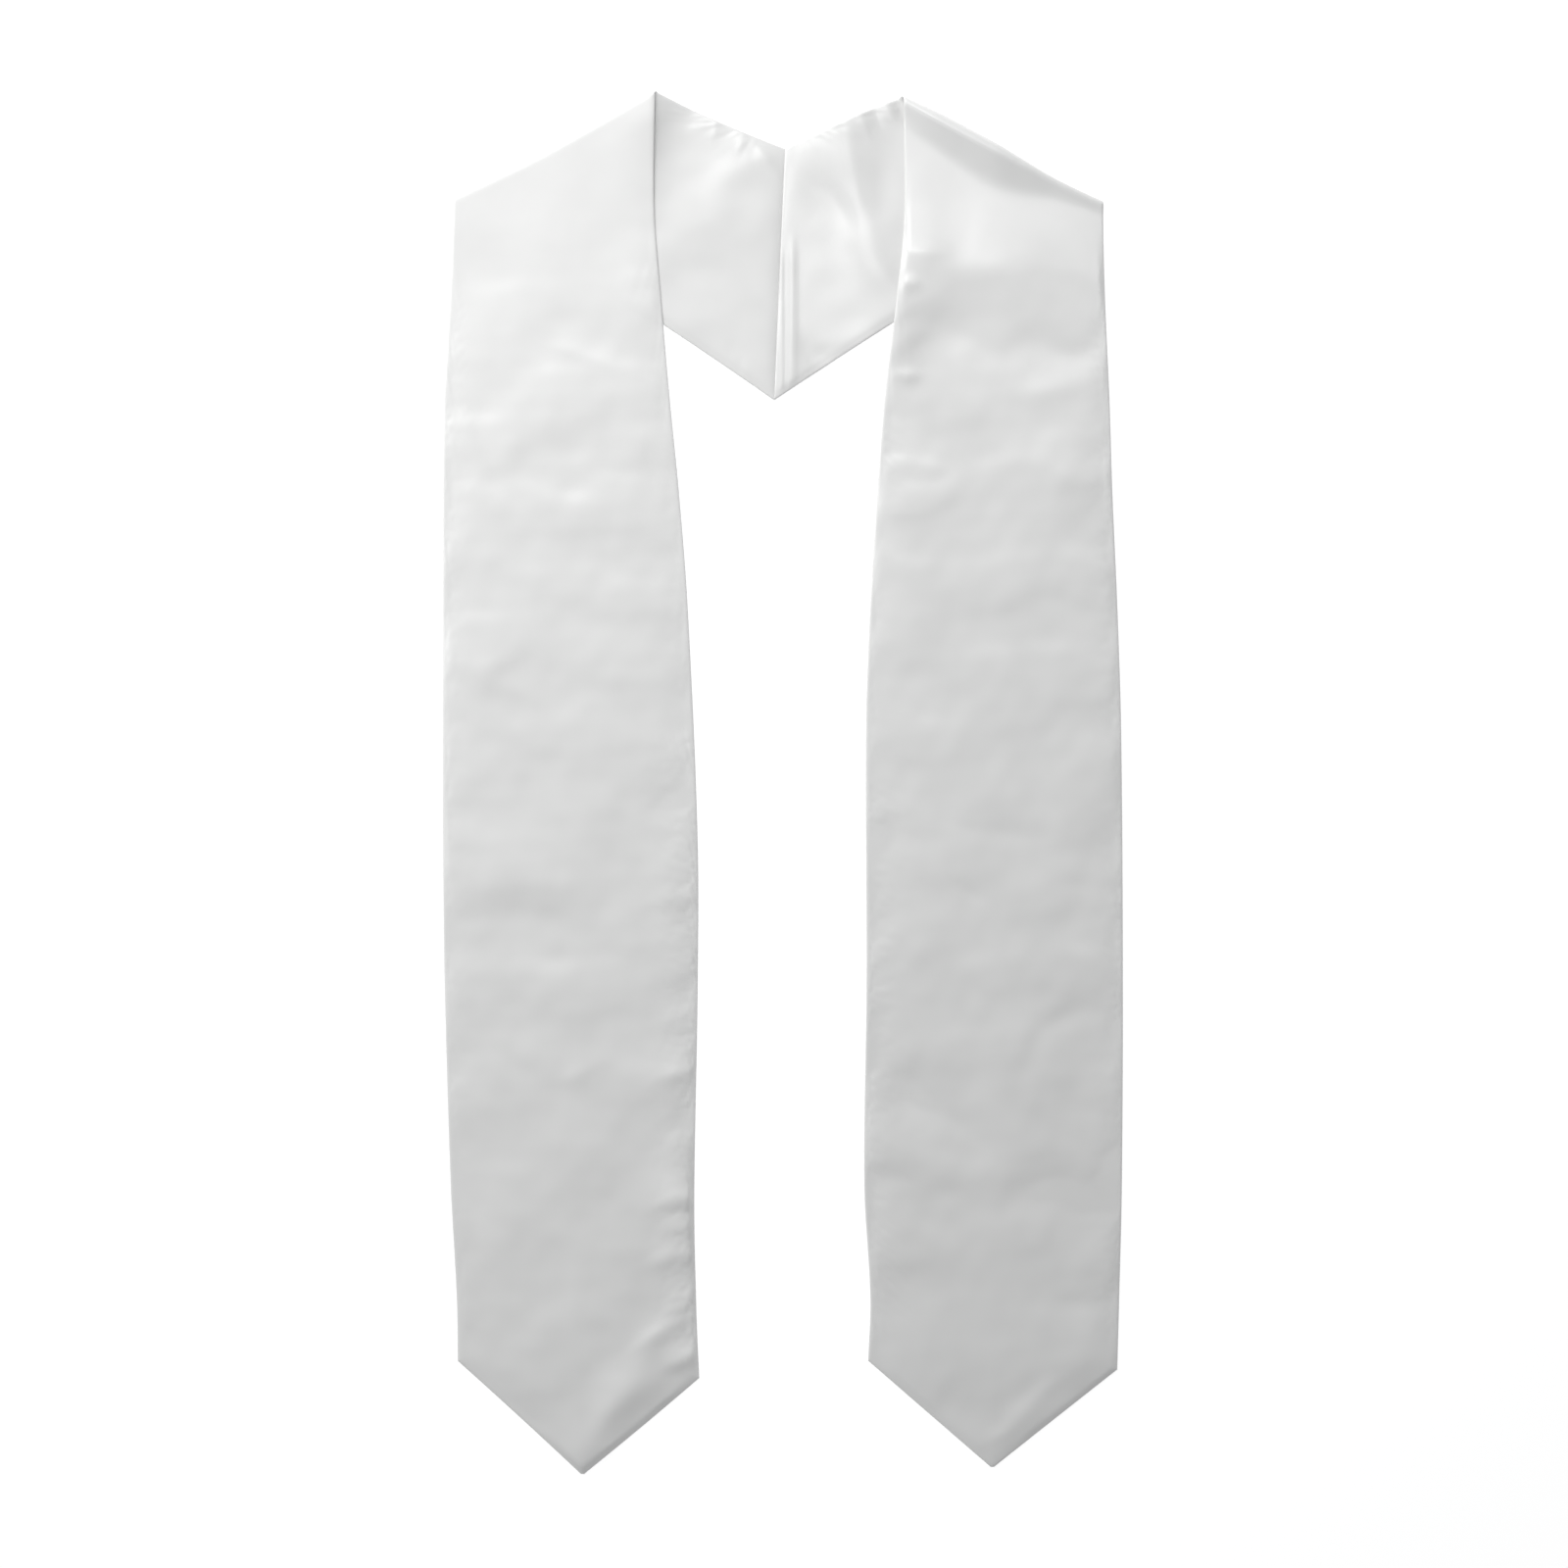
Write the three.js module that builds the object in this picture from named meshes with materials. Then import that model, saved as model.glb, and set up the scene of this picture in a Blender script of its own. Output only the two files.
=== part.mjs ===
// A graduation stole, laid out flat: a lined satin band with pointed ends. Its two halves are
// seamed together in a V behind the neck, and each is folded forward at the shoulder, so that
// its long panel runs down the front. A half is two layers of satin, a face and a lining. They
// are sewn together around their edges and are loose between them, so the upper one is puffed.
// Millimetres. The stole lies on the plane z = 0, its neck towards +Y, its points towards -Y.
import * as THREE from "three";

const { clamp, lerp, smoothstep } = THREE.MathUtils;

// The band
const BAND_WIDTH = 147; // a panel at its widest
const SEAM_LENGTH = 145; // centre-back seam, from the neck edge to the point of the V
const PANEL_DROP = 730; // neck end of a shoulder fold, down to the corners above the point
const POINT_DEPTH = 60.3; // corners of a panel, down to its point
const CLOTH = 1; // one layer of satin with its stiffener
const LAYER_GAP = 0.3; // between layers that touch, and between the halves at the seam

// How it lies
const SEAM_LEAN = 6.2; // how far the seam's lower end lies towards -X from its upper one
const NECK_HALF_WIDTH = 71.5; // middle of the seam to the neck end of a shoulder fold
const NECK_RISE = 31; // top of the seam, up to the neck end of a fold
const SHOULDER_HALF_WIDTH = 186.6; // and to its outer end
const SHOULDER_DROP = 60; // neck end of a fold, down to its outer end
const FOLD_DIP = 2; // how far a fold bows in between its ends
const NECK_SAG = 1.5; // how far the neck edge bows down between seam and fold
const BACK_BOW = 5; // how far the band's outer edge bows up behind the neck
const FOLD_SLACK_NECK = 0.75; // radius of the space inside the rolled fold at its neck end
const FOLD_SLACK_SHOULDER = 2.4; // and at its outer end
const FOLD_EASE = 45; // distance over which a panel comes down from the roll
const STEP_EASE = 26; // distance over which it comes down past the band below it
const STEP_CLEARANCE = 1; // how far past that band it starts to

// Its relief
const PUFF = 1.5; // how far the upper layer stands off the lower one in mid-band
const PUFF_EDGE = 26; // distance from an edge over which the puff builds up
const LOFT = 3; // height of the tallest soft fold
const HELD_EDGE = 6.5; // distance from an edge within which the sewing holds the folds down
const EDGE_ROUND = 2.4; // radius of the turned edge
const EDGE_SHARE = 0.45; // cloth thickness left at the very edge
const WELT_WIDTH = 6.5; // ridge of the seam allowance beside the centre-back seam
const WELT_HEIGHT = 1.5;
const WELT_STARTS = 0.1; // shares of the seam's length where the ridge starts to rise
const WELT_FULL = 0.6; // and where it has its full height

const BAND_THICKNESS = 2 * CLOTH + LAYER_GAP;
const HALF_BAND = BAND_THICKNESS / 2;
const STACK = BAND_THICKNESS + LAYER_GAP; // how far a panel is lifted by the band below it
const ROLL_RADIUS_NECK = HALF_BAND + FOLD_SLACK_NECK;
const ROLL_RADIUS_SHOULDER = HALF_BAND + FOLD_SLACK_SHOULDER;
const WIDENING = BAND_WIDTH - (SHOULDER_HALF_WIDTH - NECK_HALF_WIDTH);

// Where a panel's edges run. down is a share of PANEL_DROP from the fold's neck end. inward
// and outward are shares of WIDENING, from the straight lines below the fold's two ends.
const LEFT_EDGES = [
  { down: 0, inward: 0, outward: 0 },
  { down: 0.09, inward: -0.02, outward: 0.04 },
  { down: 0.16, inward: 0.1, outward: 0.11 },
  { down: 0.24, inward: 0.26, outward: 0.22 },
  { down: 0.31, inward: 0.42, outward: 0.24 },
  { down: 0.4, inward: 0.58, outward: 0.24 },
  { down: 0.58, inward: 0.76, outward: 0.24 },
  { down: 0.7, inward: 0.76, outward: 0.21 },
  { down: 0.86, inward: 0.7, outward: 0.1 },
  { down: 0.95, inward: 0.74, outward: -0.01 },
  { down: 1, inward: 0.79, outward: -0.03 },
];
const RIGHT_EDGES = [
  { down: 0, inward: 0, outward: 0 },
  { down: 0.09, inward: -0.02, outward: 0 },
  { down: 0.16, inward: 0.13, outward: 0.04 },
  { down: 0.24, inward: 0.35, outward: 0.12 },
  { down: 0.31, inward: 0.47, outward: 0.17 },
  { down: 0.4, inward: 0.6, outward: 0.26 },
  { down: 0.5, inward: 0.68, outward: 0.33 },
  { down: 0.7, inward: 0.67, outward: 0.36 },
  { down: 0.86, inward: 0.71, outward: 0.34 },
  { down: 0.95, inward: 0.6, outward: 0.29 },
  { down: 1, inward: 0.64, outward: 0.26 },
];

// Soft folds of a panel's face. down is a share of PANEL_DROP, across a share of the width
// from the inner edge, reach and breadth shares of BAND_WIDTH along and across the ridge, turn
// the ridge's angle in degrees, outwards and down, and height a share of LOFT.
const LEFT_FOLDS = [
  { down: 0.12, across: 0.75, reach: 0.42, breadth: 0.2, turn: -24, height: 0.5 },
  { down: 0.29, across: 0.6, reach: 0.4, breadth: 0.24, turn: 55, height: 0.55 },
  { down: 0.45, across: 0.78, reach: 0.36, breadth: 0.12, turn: -30, height: 0.55 },
  { down: 0.55, across: 0.45, reach: 0.5, breadth: 0.2, turn: -55, height: 0.5 },
  { down: 0.66, across: 0.78, reach: 0.4, breadth: 0.1, turn: -16, height: 0.8 },
  { down: 0.76, across: 0.2, reach: 0.24, breadth: 0.09, turn: 25, height: 0.6 },
  { down: 0.87, across: 0.5, reach: 0.5, breadth: 0.2, turn: 80, height: 0.5 },
  { down: 0.975, across: 0.14, reach: 0.22, breadth: 0.09, turn: 38, height: 0.85 },
];
const RIGHT_FOLDS = [
  { down: 0.1, across: 0.4, reach: 0.55, breadth: 0.22, turn: 18, height: 0.9 },
  { down: 0.185, across: 0.12, reach: 0.2, breadth: 0.07, turn: 12, height: 0.7 },
  { down: 0.23, across: 0.12, reach: 0.2, breadth: 0.06, turn: 8, height: 0.6 },
  { down: 0.27, across: 0.55, reach: 0.4, breadth: 0.12, turn: 12, height: 0.5 },
  { down: 0.42, across: 0.16, reach: 0.6, breadth: 0.12, turn: 86, height: 0.5 },
  { down: 0.53, across: 0.15, reach: 0.3, breadth: 0.12, turn: 30, height: 0.8 },
  { down: 0.6, across: 0.14, reach: 0.24, breadth: 0.09, turn: -20, height: 0.7 },
  { down: 0.67, across: 0.5, reach: 0.5, breadth: 0.16, turn: 35, height: 0.45 },
  { down: 0.79, across: 0.2, reach: 0.34, breadth: 0.14, turn: 35, height: 0.75 },
  { down: 0.95, across: 0.6, reach: 0.4, breadth: 0.16, turn: 5, height: 0.5 },
];

// Soft folds and gathers of the lining behind the neck. along is a share of the way from the
// seam to the shoulder fold, and the other columns are as above, with the seam's length.
const LEFT_NECK_FOLDS = [
  { along: 0.42, across: 0.3, reach: 0.36, breadth: 0.2, turn: 40, height: 0.9 },
  { along: 0.2, across: 0.93, reach: 0.05, breadth: 0.05, turn: 70, height: 0.4 },
];
const RIGHT_NECK_FOLDS = [
  { along: 0.25, across: 0.55, reach: 0.42, breadth: 0.17, turn: -52, height: 0.9 },
  { along: 0.5, across: 0.12, reach: 0.14, breadth: 0.04, turn: 86, height: 0.75 },
  { along: 0.8, across: 0.06, reach: 0.08, breadth: 0.035, turn: 78, height: 0.5 },
  { along: 0.95, across: 0.05, reach: 0.08, breadth: 0.03, turn: 70, height: 0.4 },
];

// The two halves. rise, sag and point are shares of NECK_RISE, NECK_SAG and POINT_DEPTH,
// innerDrop and outerDrop shares of PANEL_DROP to a panel's two corners, and tip is where the
// point lies across the panel, from its inner edge. welt is 1 on the side that the seam
// allowance is pressed to.
const HALVES = [
  {
    name: "left",
    toward: -1,
    rise: 1.04,
    sag: 1,
    innerDrop: 1.0155,
    outerDrop: 1.002,
    point: 1.012,
    tip: 0.484,
    edges: LEFT_EDGES,
    folds: LEFT_FOLDS,
    neckFolds: LEFT_NECK_FOLDS,
    welt: 0,
  },
  {
    name: "right",
    toward: 1,
    rise: 0.95,
    sag: -0.9,
    innerDrop: 0.998,
    outerDrop: 1.005,
    point: 0.988,
    tip: 0.498,
    edges: RIGHT_EDGES,
    folds: RIGHT_FOLDS,
    neckFolds: RIGHT_NECK_FOLDS,
    welt: 1,
  },
];

// The mesh: rows along the band, and columns at these shares of its width
const BACK_ROWS = 13;
const ROLL_ROWS = 6;
const PANEL_ROWS = 40;
const END_SHARE = 0.0035; // a row this near an end gives it a round edge
const COLUMNS = [0, 0.016, 0.08, 0.2, 0.35, 0.5, 0.65, 0.8, 0.92, 0.984, 1];
const SLANT_SHARE = 0.3; // the rows turn from the fold's slope to level in this share
const CHEVRON_START = 0.7; // and towards the pointed edge from this share on
const HALVINGS = 50; // steps in which a root is narrowed down

// Reads a column of a table as a smooth curve through its rows.
function readTable(rows, input, column, at) {
  const last = rows.length - 2;
  const found = rows.findIndex((row) => row[input] > at);
  const i = found < 0 ? last : clamp(found - 1, 0, last);
  const slope = (k) => {
    const before = rows[Math.max(k - 1, 0)];
    const after = rows[Math.min(k + 1, rows.length - 1)];
    return (after[column] - before[column]) / (after[input] - before[input]);
  };
  const [a, b] = [rows[i], rows[i + 1]];
  const span = b[input] - a[input];
  const s = (at - a[input]) / span;
  const risen = s * s * (3 - 2 * s);
  const leaving = slope(i) * span * s * (1 - s) * (1 - s);
  const arriving = slope(i + 1) * span * s * s * (1 - s);
  return lerp(a[column], b[column], risen) + leaving - arriving;
}

// The input between low and high where a rising function is zero.
function rootOf(f, low, high) {
  for (let i = 0; i < HALVINGS; i += 1) {
    const middle = (low + high) / 2;
    if (f(middle) < 0) low = middle;
    else high = middle;
  }
  return (low + high) / 2;
}

// Height of a ridge at a place on the band, both in millimetres from the same corner.
function ridge(along, across, fold, size) {
  const angle = THREE.MathUtils.degToRad(fold.turn);
  const lengthwise = across * Math.cos(angle) + along * Math.sin(angle);
  const crosswise = along * Math.cos(angle) - across * Math.sin(angle);
  const falls = (lengthwise / (fold.reach * size)) ** 2 + (crosswise / (fold.breadth * size)) ** 2;
  return fold.height * LOFT * Math.exp(-falls);
}

// The layout of one half, as distances from the seam and heights above its top. The other
// half is its mirror image.
function layOut(half) {
  const neckEnd = new THREE.Vector2(NECK_HALF_WIDTH, NECK_RISE * half.rise);
  const shoulderEnd = new THREE.Vector2(SHOULDER_HALF_WIDTH, neckEnd.y - SHOULDER_DROP);
  const slope = shoulderEnd.clone().sub(neckEnd).normalize();
  const outward = new THREE.Vector2(-slope.y, slope.x);
  const insideFold = (p) => neckEnd.clone().sub(p).dot(outward);

  const lean = (half.toward * SEAM_LEAN) / 2;
  const seamTop = new THREE.Vector2(LAYER_GAP / 2 + lean, 0);
  const seamFoot = new THREE.Vector2(LAYER_GAP / 2 - lean, -SEAM_LENGTH);
  const bowed = (from, to, bow) => {
    const middle = from.clone().lerp(to, 0.5).addScaledVector(outward, 2 * bow);
    return new THREE.QuadraticBezierCurve(from, middle, to);
  };
  const backInner = bowed(seamTop, neckEnd, -NECK_SAG * half.sag);
  const backOuter = bowed(seamFoot, shoulderEnd, BACK_BOW);

  const edgeAt = (y, bottom, start, column, way) => {
    const down = (neckEnd.y - y) / (neckEnd.y - bottom);
    return new THREE.Vector2(start + way * WIDENING * readTable(half.edges, "down", column, down), y);
  };
  const innerBottom = neckEnd.y - PANEL_DROP * half.innerDrop;
  const outerBottom = neckEnd.y - PANEL_DROP * half.outerDrop;
  const panelInner = (y) => edgeAt(y, innerBottom, NECK_HALF_WIDTH, "inward", -1);
  const panelOuter = (y) => edgeAt(y, outerBottom, SHOULDER_HALF_WIDTH, "outward", 1);

  // The roll starts and ends on a line inside the fold, by its radius and half the band.
  const rollInner = ROLL_RADIUS_NECK + HALF_BAND;
  const rollOuter = ROLL_RADIUS_SHOULDER + HALF_BAND;
  const backInnerEnd = rootOf((u) => rollInner - insideFold(backInner.getPoint(u)), 0, 1);
  const backOuterEnd = rootOf((u) => rollOuter - insideFold(backOuter.getPoint(u)), 0, 1);
  const startOf = (edge, roll, bottom) =>
    -rootOf((down) => insideFold(edge(-down)) - roll, -neckEnd.y, -bottom);
  const startInner = startOf(panelInner, rollInner, innerBottom);
  const startOuter = startOf(panelOuter, rollOuter, outerBottom);

  // Bows a place in, by its distance from the fold and its share of the way along it.
  const dipped = (p, t) => {
    const nearFold = 1 - smoothstep(insideFold(p), 0, FOLD_EASE);
    return p.addScaledVector(outward, -4 * FOLD_DIP * t * (1 - t) * nearFold);
  };

  // A row behind the neck starts at a distance from the seam, and takes a share of the rest.
  const alongBack = (curve, end, start, share) =>
    curve.getPoint(lerp(start / curve.getLength(), end, share));
  const backRow = (start, share, t) => {
    const inner = alongBack(backInner, backInnerEnd, start, share);
    return dipped(inner.lerp(alongBack(backOuter, backOuterEnd, start, share), t), t);
  };
  const panelRow = (v, t) => {
    const level = smoothstep(v, 0, SLANT_SHARE);
    const inner = lerp(startInner, innerBottom, v);
    const outer = lerp(inner - startInner + startOuter, lerp(startOuter, outerBottom, v), level);
    const chevron = smoothstep(v, CHEVRON_START, 1);
    const shifted = t + 4 * (half.tip - 0.5) * t * (1 - t) * chevron;
    const p = panelInner(inner).lerp(panelOuter(outer), shifted);
    p.y -= POINT_DEPTH * half.point * (1 - Math.abs(2 * t - 1)) * chevron;
    return dipped(p, t);
  };

  // How far a place lies below the band's outer edge behind the neck.
  const outerLine = shoulderEnd.clone().sub(seamFoot);
  const pastBack = (p) => {
    const share = (p.x - seamFoot.x) / outerLine.x;
    const bow = 4 * BACK_BOW * clamp(share, 0, 1) * (1 - clamp(share, 0, 1));
    const edge = lerp(seamFoot.y, shoulderEnd.y, share) + bow;
    return ((edge - p.y) * outerLine.x) / outerLine.length();
  };
  return { outward, insideFold, panelInner, backRow, panelRow, pastBack, neckEnd };
}

// The stations of one half, from the seam to the point. Each is a row of places on the
// surface midway between the two layers, with how far each layer stands off it.
function stationsOf(half) {
  const plan = layOut(half);
  const spaced = (count) => Array.from({ length: count + 1 }, (_, i) => i / count);
  const puffFrom = (distance) => PUFF * smoothstep(distance, 0, PUFF_EDGE);
  const fromEdges = (t, width) => Math.min(t, 1 - t) * width;

  const backStation = ({ start, share }, t) => {
    const p = plan.backRow(start, share, t);
    const width = plan.backRow(start, share, 0).distanceTo(plan.backRow(start, share, 1));
    const length = lerp(NECK_HALF_WIDTH, SHOULDER_HALF_WIDTH, t);
    const fromSeam = lerp(start, length, share);
    const edge = Math.min(fromEdges(t, width), fromSeam);
    let folds = 0;
    for (const fold of half.neckFolds) {
      const along = fromSeam - fold.along * length;
      folds += ridge(along, (t - fold.across) * SEAM_LENGTH, fold, SEAM_LENGTH);
    }
    const showing = smoothstep(plan.panelInner(p.y).x - p.x, LAYER_GAP, PUFF_EDGE);
    const held = smoothstep(edge, 0, HELD_EDGE);
    const weltShare = Math.sin(Math.PI * clamp(fromSeam / WELT_WIDTH, 0, 1));
    const welt = half.welt * WELT_HEIGHT * weltShare * smoothstep(t, WELT_STARTS, WELT_FULL);
    const puff = showing * (puffFrom(edge) + held * folds) + welt;
    return { p, z: HALF_BAND, edge, facePuff: 0, liningPuff: puff };
  };

  const rollStation = (share, t) => {
    const p = plan.backRow(0, 1, t).lerp(plan.panelRow(0, t), share);
    const radius = lerp(ROLL_RADIUS_NECK, ROLL_RADIUS_SHOULDER, t);
    p.addScaledVector(plan.outward, radius * Math.sin(share * Math.PI));
    const z = HALF_BAND + radius * (1 - Math.cos(share * Math.PI));
    return { p, z, edge: fromEdges(t, BAND_WIDTH - WIDENING), facePuff: 0, liningPuff: 0 };
  };

  const panelStation = (v, t) => {
    const p = plan.panelRow(v, t);
    const width = plan.panelRow(v, 0).distanceTo(plan.panelRow(v, 1));
    const fromRoll = plan.insideFold(p) - plan.insideFold(plan.panelRow(0, t));
    const rollHeight = 2 * lerp(ROLL_RADIUS_NECK, ROLL_RADIUS_SHOULDER, t) - STACK;
    const roll = rollHeight * (1 - smoothstep(fromRoll, 0, FOLD_EASE));
    const stack = STACK * (1 - smoothstep(plan.pastBack(p), STEP_CLEARANCE, STEP_EASE));
    const edge = Math.min(fromEdges(t, width), (1 - v) * PANEL_DROP);
    const down = plan.neckEnd.y - p.y;
    let folds = 0;
    for (const fold of half.folds) {
      const along = down - fold.down * PANEL_DROP;
      folds += ridge(along, (t - fold.across) * width, fold, BAND_WIDTH);
    }
    const clear = smoothstep(fromRoll, 0, PUFF_EDGE);
    const held = smoothstep(edge, 0, HELD_EDGE);
    const puff = clear * (puffFrom(edge) + held * folds);
    return { p, z: HALF_BAND + roll + stack, edge, facePuff: puff, liningPuff: 0 };
  };

  const backRows = [
    { start: 0, share: 0 },
    { start: WELT_WIDTH / 2, share: 0 },
    ...spaced(BACK_ROWS).map((share) => ({ start: WELT_WIDTH, share })),
  ];
  const rollRows = spaced(ROLL_ROWS).slice(1, -1);
  const panelRows = [...spaced(PANEL_ROWS), 1 - END_SHARE].sort((a, b) => a - b);
  const stationRow = (station) => (at) => COLUMNS.map((t) => station(at, t));
  const rows = [
    ...backRows.map(stationRow(backStation)),
    ...rollRows.map(stationRow(rollStation)),
    ...panelRows.map(stationRow(panelStation)),
  ];
  return rows.map((row) =>
    row.map((s) => ({ ...s, at: new THREE.Vector3(half.toward * s.p.x, s.p.y, s.z) })),
  );
}

// The direction that the face's outside looks in, at each place of the middle surface.
function normalsOf(rows, toward) {
  return rows.map((row, i) =>
    row.map((_, j) => {
      const before = rows[Math.max(i - 1, 0)][j].at;
      const after = rows[Math.min(i + 1, rows.length - 1)][j].at;
      const inner = row[Math.max(j - 1, 0)].at;
      const outer = row[Math.min(j + 1, row.length - 1)].at;
      const along = after.clone().sub(before);
      const across = outer.clone().sub(inner);
      return along.cross(across).multiplyScalar(toward).normalize();
    }),
  );
}

// One closed solid between an inside and an outside grid of points.
function closedSheet(inside, outside) {
  const rows = inside.length;
  const columns = inside[0].length;
  const positions = [...inside.flat(), ...outside.flat()].flatMap((p) => p.toArray());
  const index = [];
  const quad = (a, b, c, d) => index.push(a, b, c, a, c, d);
  const inner = (i, j) => i * columns + j;
  const outer = (i, j) => (rows + i) * columns + j;
  for (let i = 0; i < rows - 1; i += 1) {
    for (let j = 0; j < columns - 1; j += 1) {
      quad(outer(i, j), outer(i + 1, j), outer(i + 1, j + 1), outer(i, j + 1));
      quad(inner(i, j), inner(i, j + 1), inner(i + 1, j + 1), inner(i + 1, j));
    }
    quad(inner(i, 0), inner(i + 1, 0), outer(i + 1, 0), outer(i, 0));
    const j = columns - 1;
    quad(inner(i, j), outer(i, j), outer(i + 1, j), inner(i + 1, j));
  }
  for (let j = 0; j < columns - 1; j += 1) {
    quad(inner(0, j), outer(0, j), outer(0, j + 1), inner(0, j + 1));
    const i = rows - 1;
    quad(inner(i, j), inner(i, j + 1), outer(i, j + 1), outer(i, j));
  }
  const geometry = new THREE.BufferGeometry();
  geometry.setAttribute("position", new THREE.Float32BufferAttribute(positions, 3));
  geometry.setIndex(index);
  return geometry;
}

// Turns a geometry's faces round, for a layer whose grid winds the other way.
function turnedRound(geometry) {
  const index = geometry.getIndex();
  for (let i = 0; i < index.count; i += 3) {
    const [b, c] = [index.getX(i + 1), index.getX(i + 2)];
    index.setX(i + 1, c);
    index.setX(i + 2, b);
  }
  return geometry;
}

// A layer of one half. It lies on the face's side of the middle surface, or on the other.
function layerOf(half, stations, normals, side, puffColumn) {
  const grid = (depth) =>
    stations.map((row, i) =>
      row.map((s, j) => {
        const rounding = Math.sqrt(1 - (1 - clamp(s.edge / EDGE_ROUND, 0, 1)) ** 2);
        const thickness = CLOTH * lerp(EDGE_SHARE, 1, rounding);
        const off = LAYER_GAP / 2 + s[puffColumn] + depth * thickness;
        return s.at.clone().addScaledVector(normals[i][j], side * off);
      }),
    );
  const geometry = closedSheet(grid(0), grid(1));
  return side * half.toward > 0 ? geometry : turnedRound(geometry);
}

const faceSatin = new THREE.MeshStandardMaterial({ color: 0xf2f2f1, roughness: 0.38, metalness: 0 });
const liningSatin = new THREE.MeshStandardMaterial({ color: 0xefefee, roughness: 0.42, metalness: 0 });

const stole = new THREE.Group();
for (const half of HALVES) {
  const stations = stationsOf(half);
  const normals = normalsOf(stations, half.toward);
  const face = new THREE.Mesh(layerOf(half, stations, normals, 1, "facePuff"), faceSatin);
  face.name = `${half.name}_face`;
  const lining = new THREE.Mesh(layerOf(half, stations, normals, -1, "liningPuff"), liningSatin);
  lining.name = `${half.name}_lining`;
  stole.add(face, lining);
}

// The origin is on the plane that the stole lies on, at the middle of its outline.
const box = new THREE.Box3().setFromObject(stole);
const centre = box.getCenter(new THREE.Vector3());
stole.position.set(-centre.x, -centre.y, -box.min.z);

export default stole;
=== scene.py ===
"""A white satin graduation stole, laid flat on a pale floor and seen from straight above.

Its two halves are seamed in a V behind the neck and folded forward at the shoulders, and each
half is a face and a lining, sewn together around their edges and turned right side out.
"""
from collections import namedtuple

import bpy
import numpy as np
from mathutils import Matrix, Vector


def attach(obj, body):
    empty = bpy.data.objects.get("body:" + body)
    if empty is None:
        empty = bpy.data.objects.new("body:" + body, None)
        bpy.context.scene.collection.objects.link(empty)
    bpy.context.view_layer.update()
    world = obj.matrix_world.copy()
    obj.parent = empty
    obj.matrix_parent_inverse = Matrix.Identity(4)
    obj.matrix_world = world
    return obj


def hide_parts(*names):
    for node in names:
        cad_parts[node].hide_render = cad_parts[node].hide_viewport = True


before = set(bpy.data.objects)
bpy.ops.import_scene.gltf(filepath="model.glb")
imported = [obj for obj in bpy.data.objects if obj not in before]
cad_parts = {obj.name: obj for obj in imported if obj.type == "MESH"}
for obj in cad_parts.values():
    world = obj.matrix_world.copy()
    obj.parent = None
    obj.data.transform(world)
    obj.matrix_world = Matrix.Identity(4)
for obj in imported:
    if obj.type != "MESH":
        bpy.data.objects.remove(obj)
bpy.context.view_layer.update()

# The left lining. It is one layer of satin, cut like the face that it is sewn to. Behind the
# neck it lies uppermost, with soft folds left by the seam, and below the shoulder it lies flat
# on the floor under its panel. All of its sizes are in millimetres.
SEAM_TOP = (-1.873, 366.724, 0)
BAND_WIDTH = 147
SEAM_LENGTH = 145
SEAM_LEAN = 6.2
PANEL_DROP = 730
POINT_DEPTH = 60.3
NECK_HALF_WIDTH = 71.5
NECK_RISE = 31
NECK_SAG = 1.5
SHOULDER_HALF_WIDTH = 186.6
SHOULDER_DROP = 60
BACK_BOW = 5
CLOTH = 0.3
LAYER_GAP = 0.1
HALF_BAND = CLOTH + LAYER_GAP / 2
STACK = 2 * HALF_BAND + LAYER_GAP
WIDENING = BAND_WIDTH - (SHOULDER_HALF_WIDTH - NECK_HALF_WIDTH)

# A panel's edges: down is a share of the panel's drop, and inward and outward are shares of
# the widening, from straight lines below the two ends of the shoulder fold.
Edge = namedtuple("Edge", "down inward outward")
LEFT_EDGES = [
    Edge(0, 0, 0),
    Edge(0.09, -0.02, 0.04),
    Edge(0.16, 0.1, 0.11),
    Edge(0.24, 0.26, 0.22),
    Edge(0.31, 0.42, 0.24),
    Edge(0.4, 0.58, 0.24),
    Edge(0.58, 0.76, 0.24),
    Edge(0.7, 0.76, 0.21),
    Edge(0.86, 0.7, 0.1),
    Edge(0.95, 0.74, -0.01),
    Edge(1, 0.79, -0.03),
]

# The shoulder fold is a roll: its radius at shares of the way from the neck to the shoulder,
# and the length in which the panel comes down off it.
Roll = namedtuple("Roll", "share radius fall")
LEFT_ROLL = [Roll(0, 1.1, 60), Roll(0.5, 1.2, 60), Roll(1, 1.3, 60)]

# One half: toward is 1 on the right and -1 on the left. rise, sag and point are shares of the
# neck's rise, its sag and the point's depth, inner_drop and outer_drop are shares of the
# panel's drop to its two corners, and tip is where the point lies across the panel. edges and
# roll are its tables. seam_rise is the length in which the lining comes up out of the seam, and
# corner_rise is how far the panel's corner at the neck stands up.
Half = namedtuple(
    "Half", "toward rise sag inner_drop outer_drop point tip edges roll seam_rise corner_rise"
)
LEFT = Half(-1, 1.04, 1, 1.0155, 1.002, 1.012, 0.484, LEFT_EDGES, LEFT_ROLL, 2.2, 5)

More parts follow.
